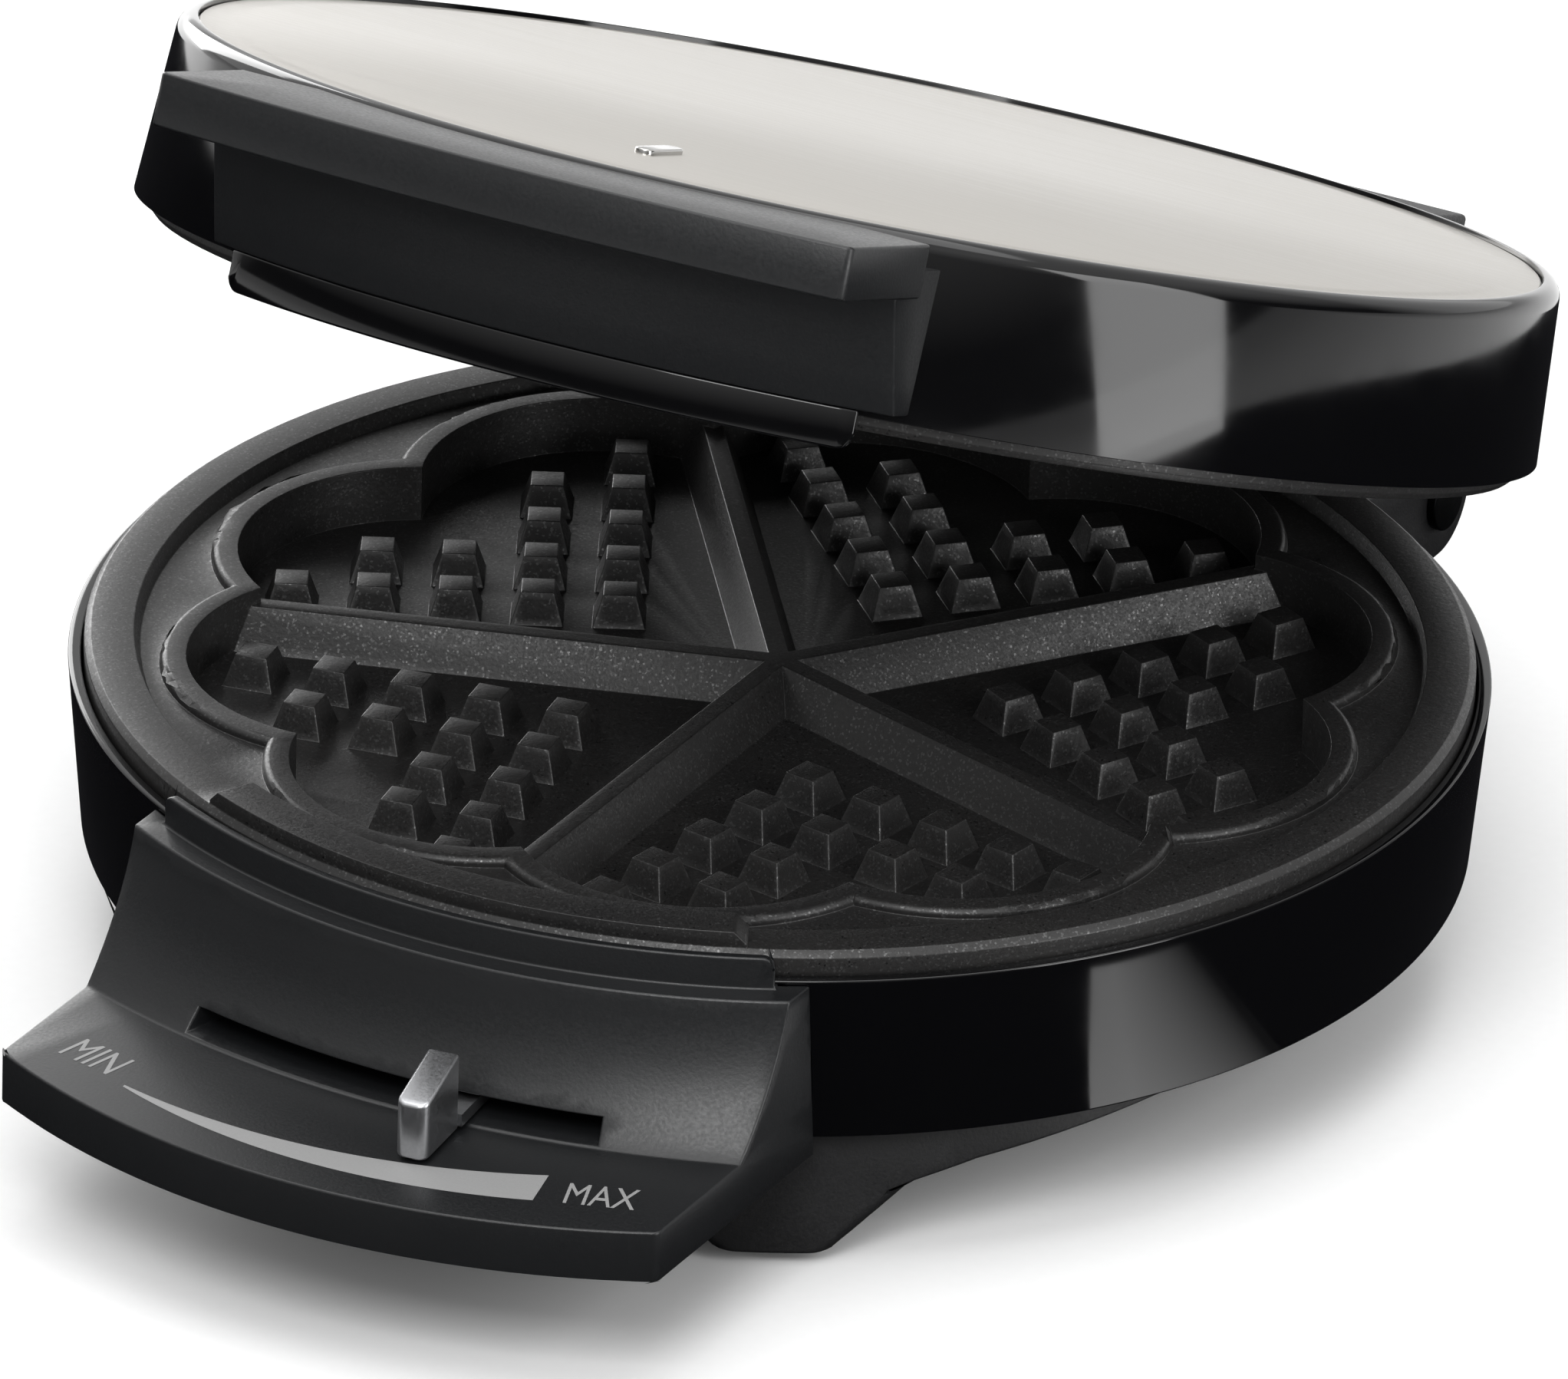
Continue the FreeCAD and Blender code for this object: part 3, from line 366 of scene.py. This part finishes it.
bpy.ops.object.select_all(action="DESELECT")
bpy.ops.mesh.primitive_grid_add(x_subdivisions=48, y_subdivisions=1, size=1)
scale_mark = bpy.context.object
scale_mark.name = "heat_scale_print"
for point in scale_mark.data.vertices:
    outer_edge = point.co.y < 0
    x = scale_tip + (scale_end - scale_tip) * (point.co.x + 0.5)
    x += (end_slant if outer_edge else -end_slant) * (point.co.x + 0.5)
    y = arc_y(outer_arc if outer_edge else inner_arc, x)
    point.co = (x, y + axis_y, ledge_z + ink_thickness)
finish_print(scale_mark)


def printed_word(word, width, height, turn, corner_x, corner_y):
    bpy.ops.object.select_all(action="DESELECT")
    bpy.ops.object.text_add()
    made = bpy.context.object
    made.name = "print_" + word.lower()
    made.data.body = word
    bpy.ops.object.convert(target="MESH")
    low = Vector(made.bound_box[0])
    high = Vector(made.bound_box[6])
    fit = Matrix.Diagonal((width / (high.x - low.x), height / (high.y - low.y), 1, 1))
    place = Matrix.Translation((corner_x, corner_y + axis_y, ledge_z + ink_thickness))
    made.matrix_world = place @ Matrix.Rotation(math.radians(turn), 4, "Z") @ fit @ Matrix.Translation(-low)
    bpy.ops.object.transform_apply()
    finish_print(made)


printed_word("MIN", width=9.9 * MM, height=6.2 * MM, turn=-14.6, corner_x=-48.1 * MM, corner_y=-133.2 * MM)
printed_word("MAX", width=10.6 * MM, height=6.4 * MM, turn=18.6, corner_x=38.9 * MM, corner_y=-136.2 * MM)

# Temperature control: a steel spindle and lever inside, and a silver lacquered slider knob outside.
# The lacquer is fine metallic flake under a satin coat, so its front edge catches a bright line.
silver_lacquer = bare_metal("satin_silver_lacquer", "#c4c5c7", "#aeafb2", roughness=0.34, grain=0.5)
dress("thermostat_spindle", zinc_plated_steel)
dress("temperature_lever", zinc_plated_steel)
softened("temperature_knob", "temperature_control", silver_lacquer, edge=0.5)

# Cord gland: a black rubber bushing through the rear of the ring.
# It is moulded in the same dull rubber as the pads.
softened("cord_gland", "base", black_rubber, edge=0.4)

# Hinge of the base: two matt black ears behind the ring, each with a steel pin through it.
# The pins are oxide blackened, and their heads are pressed in from outside.
blackened_steel = bare_metal("oxide_blackened_steel", "#1c1d1f", "#141414", roughness=0.45, grain=1.5)
softened("base_hinge_ears", "base", matt_black_pp, edge=0.6)
softened("hinge_pins", "base", blackened_steel, edge=0.3)

# Lid ring: the same gloss black ABS as the base ring, with a rounded upper edge round the panel.
# The upper plate screws up into it, and the lid's hinge block screws to its rear.
lid_joint = [joint for joint in frame["joints"] if joint["name"] == "lid_hinge"][0]
hinge_point = Vector(lid_joint["pos_m"])
lid_angle = math.radians(-lid_joint["range_deg"][0])
lid_place = (Matrix.Translation(hinge_point) @ Matrix.Rotation(-lid_angle, 4, "X")
             @ Matrix.Translation(-hinge_point))


def open_with_lid(piece):
    # Lid pieces are made with the lid closed and then turned up about the hinge with it
    pick_alone(piece)
    bpy.ops.object.transform_apply()
    piece.matrix_world = lid_place
    bpy.ops.object.transform_apply()


lid_foot = 55.8 * MM
lid_top = 83.5 * MM
lid_foot_radius = 107.6 * MM
lid_top_radius = 106.0 * MM
panel_radius = 102.8 * MM
panel_top = 83.2 * MM
panel_thickness = 1.0 * MM
panel_gap = 0.3 * MM
panel_seat = panel_top - panel_thickness
seat_width = 15.0 * MM
seat_thickness = 2.4 * MM
shoulder_round = 2.6 * MM
lid_edge_round = 0.12 * MM
shoulder = [(lid_top_radius - shoulder_round * (1 - math.cos(turn)),
             lid_top - shoulder_round * (1 - math.sin(turn)))
            for turn in [math.radians(15 * step) for step in range(7)]]
lid_ring = turned("lid_ring_gloss", [(lid_foot_radius, lid_foot)] + shoulder + [
    (panel_radius + panel_gap, lid_top),
    (panel_radius + panel_gap, panel_seat),
    (panel_radius - seat_width, panel_seat),
    (panel_radius - seat_width, panel_seat - seat_thickness),
    (lid_top_radius - ring_wall, panel_seat - seat_thickness),
    (lid_foot_radius - ring_wall, lid_foot),
], lid_edge_round)
open_with_lid(lid_ring)
finish_piece(lid_ring, gloss_black_abs, "lid", "lid_shell")
dress("lid_plate_screws", zinc_plated_steel)
softened("lid_hinge_block", "lid", matt_black_pp, edge=0.8)
dress("hinge_block_screws", zinc_plated_steel)

# Upper heater and upper baking plate: the same element, shield and coated casting, facing down.
# A notch in the front of its rim clears the dam of the lower plate.
dress("upper_heating_element", heated_steel)
dress("upper_heat_shield", pressed_aluminium)
softened("upper_baking_plate", "lid", coated_casting, edge=0.15, join_flats=False)


# Lid panel: a disc of satin stainless sheet, pressed with a shallow step near its edge.
# It is laid into the lid ring, and its brushing runs across the lid.
def brushed_sheet(name):
    material, tree, place = start_material(name)
    # Brush lines are about 0.05 mm apart; they are drawn at 0.5 mm so that the render can show them
    stretch = add_node(tree, "ShaderNodeMapping", {}, {"Vector": place})
    stretch.inputs["Scale"].default_value = (1 / (60 * MM), 1 / (0.5 * MM), 1 / (0.5 * MM))
    lines = add_node(tree, "ShaderNodeTexNoise", {}, {
        "Vector": stretch.outputs["Vector"], "Scale": 1.0, "Detail": 3.0})
    clouds = add_node(tree, "ShaderNodeTexNoise", {}, {
        "Vector": place, "Scale": 1 / (70 * MM), "Detail": 2.0})
    shade = add_node(tree, "ShaderNodeMix", {"data_type": "RGBA"}, {"Factor": clouds.outputs["Fac"]})
    shade.inputs["A"].default_value = linear("#c9c6c1")
    shade.inputs["B"].default_value = linear("#bcb8b1")
    polish = add_node(tree, "ShaderNodeMapRange", {}, {
        "Value": lines.outputs["Fac"], "From Min": 0.3, "From Max": 0.7, "To Min": 0.3, "To Max": 0.4})
    relief = add_node(tree, "ShaderNodeBump", {}, {
        "Height": lines.outputs["Fac"], "Distance": 0.004 * MM, "Strength": 1.0})
    surface = add_node(tree, "ShaderNodeBsdfPrincipled", {}, {
        "Base Color": shade.outputs["Result"], "Metallic": 1.0, "Roughness": polish.outputs["Result"],
        "Normal": relief.outputs["Normal"]})
    add_node(tree, "ShaderNodeOutputMaterial", {}, {"Surface": surface.outputs["BSDF"]})
    return material


satin_stainless = brushed_sheet("satin_stainless_sheet")
border_width = 4.5 * MM
border_slope = 0.9 * MM
border_sink = 0.35 * MM
panel_edge_round = 0.25 * MM
bpy.ops.object.select_all(action="DESELECT")
bpy.ops.mesh.primitive_circle_add(vertices=192, radius=panel_radius, fill_type="NGON",
                                  location=(0, axis_y, panel_top - border_sink))
panel = bpy.context.object
panel.name = "lid_panel_sheet"
bpy.ops.object.mode_set(mode="EDIT")
bpy.ops.mesh.select_mode(type="FACE")
bpy.ops.mesh.select_all(action="SELECT")
bpy.ops.mesh.inset(thickness=border_width)
bpy.ops.mesh.inset(thickness=border_slope, depth=border_sink)
bpy.ops.mesh.select_mode(type="EDGE")
bpy.ops.mesh.select_all(action="DESELECT")
bpy.ops.mesh.select_non_manifold(extend=False)
bpy.ops.mesh.extrude_region_move(TRANSFORM_OT_translate={"value": (0, 0, border_sink - panel_thickness)})
bpy.ops.mesh.edge_face_add()
bpy.ops.mesh.select_all(action="SELECT")
bpy.ops.mesh.normals_make_consistent(inside=False)
bpy.ops.mesh.select_all(action="DESELECT")
bpy.ops.mesh.edges_select_sharp(sharpness=math.radians(60))
bpy.ops.mesh.bevel(offset=panel_edge_round, segments=3, profile=0.5)
bpy.ops.object.mode_set(mode="OBJECT")
open_with_lid(panel)
finish_piece(panel, satin_stainless, "lid", "lid_top_panel")

# Pilot light: a slim chrome-like window in the panel, with a small lamp in a ceramic holder below it.
# Vapour plating leaves it mirror bright while the lamp is off.
vapour_chrome = bare_metal("vapour_chrome", "#c2c1bf", "#b4b3b0", roughness=0.12, grain=1.5)
lamp_glass = moulded_plastic("amber_lamp_glass", "#c98a45", "#b9783a", roughness=0.1, grain=3.0, depth=0.005)
lens_width = 3.2 * MM
lens_length = 12.0 * MM
lens_depth = 1.0 * MM
lens_proud = 0.8 * MM
lens_forward = 72.0 * MM
lens_round = 0.3 * MM
lens_foot = panel_seat - lens_depth
lens_top = panel_top + lens_proud
lens_y = axis_y - lens_forward
lens_sides = 32
bpy.ops.object.select_all(action="DESELECT")
bpy.ops.mesh.primitive_cylinder_add(vertices=lens_sides, radius=lens_width / 2, depth=lens_top - lens_foot,
                                    location=(0, lens_y, (lens_foot + lens_top) / 2),
                                    rotation=(0, 0, math.pi / lens_sides))
bar = bpy.context.object
bar.name = "pilot_lens_bar"
bpy.ops.object.transform_apply()
for point in bar.data.vertices:
    point.co.y += math.copysign((lens_length - lens_width) / 2, point.co.y - lens_y)
bpy.ops.object.mode_set(mode="EDIT")
bpy.ops.mesh.select_mode(type="EDGE")
bpy.ops.mesh.select_all(action="DESELECT")
bpy.ops.mesh.edges_select_sharp(sharpness=math.radians(60))
bpy.ops.mesh.bevel(offset=lens_round, segments=4, profile=0.5)
bpy.ops.object.mode_set(mode="OBJECT")
open_with_lid(bar)
finish_piece(bar, vapour_chrome, "lid", "pilot_lens")
dress("pilot_lamp", lamp_glass)
dress("lamp_holder", steatite)

# Lid handle: a satin charcoal flange for the fingers on a sloping wall, screwed to the lid ring.
# A separate gloss black skirt hangs below it and closes over the base handle's rib.
softened("lid_handle", "lid", satin_charcoal, edge=0.4, join_flats=False)
dress("lid_handle_screws", zinc_plated_steel)
softened("lid_handle_skirt", "lid", gloss_black_abs, edge=0.4)


# Studio floor: a wide sheet of white paper that takes a soft shadow.
# It is far larger than the view, so no edge of it shows.
def paper(name):
    material, tree, place = start_material(name)
    fibres = add_node(tree, "ShaderNodeTexNoise", {}, {
        "Vector": place, "Scale": 1 / (2 * MM), "Detail": 2.0})
    shade = add_node(tree, "ShaderNodeMix", {"data_type": "RGBA"}, {"Factor": fibres.outputs["Fac"]})
    shade.inputs["A"].default_value = linear("#fbfbfb")
    shade.inputs["B"].default_value = linear("#f8f8f8")
    surface = add_node(tree, "ShaderNodeBsdfDiffuse", {}, {"Color": shade.outputs["Result"]})
    add_node(tree, "ShaderNodeOutputMaterial", {}, {"Surface": surface.outputs["BSDF"]})
    return material


bpy.ops.object.select_all(action="DESELECT")
bpy.ops.mesh.primitive_plane_add(size=30)
floor = bpy.context.object
floor.name = "studio_floor"
floor.data.materials.append(paper("white_paper"))


# Studio flag: a dim glowing sheet under and before the object that paints dark reflections in the gloss
# rings.
# Only mirror-like reflections show it, and a glowing strip on it paints the base ring's reflected bright
# band.
def glossy_only(piece, material):
    piece.data.materials.append(material)
    piece.visible_camera = False
    piece.visible_diffuse = False
    piece.visible_shadow = False
    piece.visible_transmission = False


flag_half_width = 1000 * MM
flag_half_depth = 470 * MM
flag_middle = (0, -170 * MM, 0.2 * MM)
# A dim grey glow that only reflections see paints dark reflections into the gloss rings; it lights nothing
# else
dark_reflection_glow, dark_glow_tree = start_material("dark_reflection_glow")[:2]
dark_glow = add_node(dark_glow_tree, "ShaderNodeEmission", {}, {"Color": linear("#1c1c1e"), "Strength": 1.0})
add_node(dark_glow_tree, "ShaderNodeOutputMaterial", {}, {"Surface": dark_glow.outputs["Emission"]})
bpy.ops.object.select_all(action="DESELECT")
bpy.ops.mesh.primitive_circle_add(vertices=64, radius=1, fill_type="NGON", location=flag_middle)
flag = bpy.context.object
flag.name = "dark_reflection_sheet"
flag.scale = (flag_half_width, flag_half_depth, 1)
bpy.ops.object.transform_apply()
glossy_only(flag, dark_reflection_glow)

strip_length = 90 * MM
strip_width = 50 * MM
strip_middle = (154 * MM, -40 * MM, 0.5 * MM)
strip_turn = math.radians(-14.4)
bpy.ops.object.select_all(action="DESELECT")
bpy.ops.mesh.primitive_plane_add(size=1, location=strip_middle, rotation=(0, 0, strip_turn))
strip = bpy.context.object
strip.name = "band_reflection_strip"
strip.scale = (strip_length, strip_width, 1)
bpy.ops.object.transform_apply()
# The strip's own glow, which paints the bright band reflected in the base ring, is strongest along its front
# edge and fades out towards the rear
band_reflection_glow, band_glow_tree, band_glow_place = start_material("band_reflection_glow")
across = add_node(band_glow_tree, "ShaderNodeVectorMath", {"operation": "DOT_PRODUCT"}, {0: band_glow_place})
across.inputs[1].default_value = (-math.sin(strip_turn), math.cos(strip_turn), 0)
fade = add_node(band_glow_tree, "ShaderNodeMapRange", {}, {
    "Value": across.outputs["Value"], "From Min": -15 * MM, "From Max": 22 * MM,
    "To Min": 2.4, "To Max": 0.05})
band_glow = add_node(band_glow_tree, "ShaderNodeEmission", {}, {"Strength": fade.outputs["Result"]})
add_node(band_glow_tree, "ShaderNodeOutputMaterial", {}, {"Surface": band_glow.outputs["Emission"]})
glossy_only(strip, band_reflection_glow)

# Studio light: a wide overhead softbox, a standing softbox on each side and a fill near the camera.
# The room is white to the camera; mirror-like surfaces see it white above and behind, and dark in front.
world = bpy.data.worlds.new("white_room")
bpy.context.scene.world = world
world.use_nodes = True
room = world.node_tree
room.nodes.clear()
path = add_node(room, "ShaderNodeLightPath")
seen = add_node(room, "ShaderNodeMath", {"operation": "MAXIMUM"}, {0: path.outputs["Is Camera Ray"]})
room.links.new(path.outputs["Is Transmission Ray"], seen.inputs[1])
direction = add_node(room, "ShaderNodeTexCoord")
height = add_node(room, "ShaderNodeSeparateXYZ", {}, {"Vector": direction.outputs["Generated"]})
overhead = add_node(room, "ShaderNodeMapRange", {}, {
    "Value": height.outputs["Z"], "From Min": 0.15, "From Max": 0.7, "To Min": 0.04, "To Max": 1.0})
rearward = add_node(room, "ShaderNodeVectorMath", {"operation": "DOT_PRODUCT"}, {
    0: direction.outputs["Generated"]})
rearward.inputs[1].default_value = (-0.43, 0.9, 0)
behind = add_node(room, "ShaderNodeMapRange", {}, {
    "Value": rearward.outputs["Value"], "From Min": 0.2, "From Max": 0.6, "To Min": 0.0, "To Max": 1.0})
bright = add_node(room, "ShaderNodeMath", {"operation": "MAXIMUM"}, {0: overhead.outputs["Result"]})
room.links.new(behind.outputs["Result"], bright.inputs[1])
mirrored = add_node(room, "ShaderNodeMix", {}, {"Factor": path.outputs["Is Glossy Ray"]})
mirrored.inputs["A"].default_value = 0.6
room.links.new(bright.outputs[0], mirrored.inputs["B"])
strength = add_node(room, "ShaderNodeMath", {"operation": "MAXIMUM"}, {0: mirrored.outputs["Result"]})
room.links.new(seen.outputs[0], strength.inputs[1])
sky = add_node(room, "ShaderNodeBackground", {}, {
    "Color": linear("#ffffff"), "Strength": strength.outputs[0]})
add_node(room, "ShaderNodeOutputWorld", {}, {"Surface": sky.outputs["Background"]})

lit_point = Vector((0, 0, 60 * MM))


def softbox(name, place, width, height, power):
    lamp = bpy.data.lights.new(name, "AREA")
    lamp.shape = "RECTANGLE"
    lamp.size = width
    lamp.size_y = height
    lamp.energy = power
    box = bpy.data.objects.new(name, lamp)
    bpy.context.scene.collection.objects.link(box)
    box.location = place
    box.rotation_euler = (lit_point - Vector(place)).to_track_quat("-Z", "Y").to_euler()
    box.visible_camera = False


softbox("overhead_softbox", (-0.1, 0.1, 1.5), width=1.4, height=1.4, power=12)
softbox("right_softbox", (0.6, -0.138, 0.25), width=0.24, height=0.48, power=1.6)
softbox("left_softbox", (-0.7, 0.5, 0.25), width=0.4, height=0.5, power=3)
softbox("front_fill", (0.35, -1.0, 1.1), width=0.7, height=0.6, power=9)

# Camera: a very long lens in front of the right side and a little above, so the view is nearly parallel.
# It is rolled slightly, as the photograph is.
azimuth = math.radians(27.95)
elevation = math.radians(26.26)
roll = math.radians(1.63)
distance = 3476.4 * MM
aim = Vector((0.83 * MM, axis_y, 43.87 * MM))
reach = math.cos(elevation)
back = Vector((math.sin(azimuth) * reach, -math.cos(azimuth) * reach, math.sin(elevation)))
level = Vector((math.cos(azimuth), math.sin(azimuth), 0))
rise = back.cross(level)
right = level * math.cos(roll) + rise * math.sin(roll)
upward = rise * math.cos(roll) - level * math.sin(roll)
lens = bpy.data.cameras.new("product_camera")
lens.sensor_fit = "HORIZONTAL"
lens.sensor_width = 36
lens.lens = 528.4
lens.clip_end = 100
camera = bpy.data.objects.new("product_camera", lens)
bpy.context.scene.collection.objects.link(camera)
facing = Matrix((right, upward, back)).transposed().to_4x4()
camera.matrix_world = Matrix.Translation(aim + back * distance) @ facing
bpy.context.scene.camera = camera
bpy.context.scene.view_settings.view_transform = "Standard"
